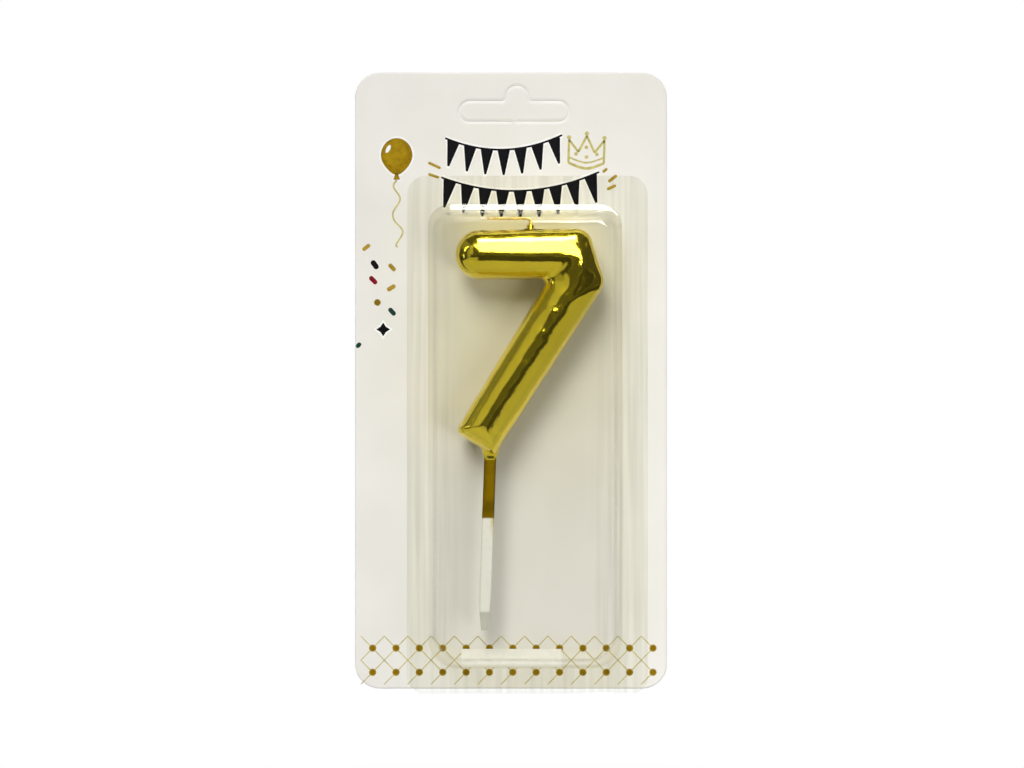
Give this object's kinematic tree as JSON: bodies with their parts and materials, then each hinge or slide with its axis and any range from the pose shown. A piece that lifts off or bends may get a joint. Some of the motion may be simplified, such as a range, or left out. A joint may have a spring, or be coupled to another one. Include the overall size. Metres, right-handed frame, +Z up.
{
  "type": "number candle in a blister pack",
  "caption": "Gold balloon-style number candle with a wick and a plastic pick, loose in a clear blister on a white hanging card with a fold-back slot flap.",
  "frame": {"origin": "where the pack hangs: the top of the hang slot's crown, on the card's back face", "axes": "+Z up as the pack hangs, +Y out of the card's back towards the display board, so the candle and the blister face -Y, +X to the right seen from the front"},
  "size_m": [0.081, 0.016, 0.1612],
  "materials": {
    "printed_card": "satin",
    "clear_plastic": "gloss",
    "gold_wax": "gloss",
    "gold_wick": "satin",
    "pick_plastic": "satin"
  },
  "bodies": {
    "card": {"backing_card": "printed_card"},
    "flap": {"slot_flap": "printed_card"},
    "blister": {"blister": "clear_plastic"},
    "candle": {"candle_body": "gold_wax", "wick": "gold_wick", "pick": "pick_plastic"}
  },
  "joints": [
    {"name": "flap_fold", "type": "hinge", "parent": "card", "child": "flap", "pos_m": [-0.0008, 0, -0.0095], "axis": [-1, 0, 0], "range_deg": [0, 170]},
    {"name": "blister_lift", "type": "slide", "parent": "card", "child": "blister", "axis": [0, -1, 0], "range_m": [0, 0.06]},
    {"name": "candle_lift", "type": "slide", "parent": "card", "child": "candle", "axis": [0, -1, 0], "range_m": [0, 0.03]}
  ],
  "couplings": [
    {"joint": "candle_lift", "follows": "blister_lift", "ratio": 0.5}
  ]
}
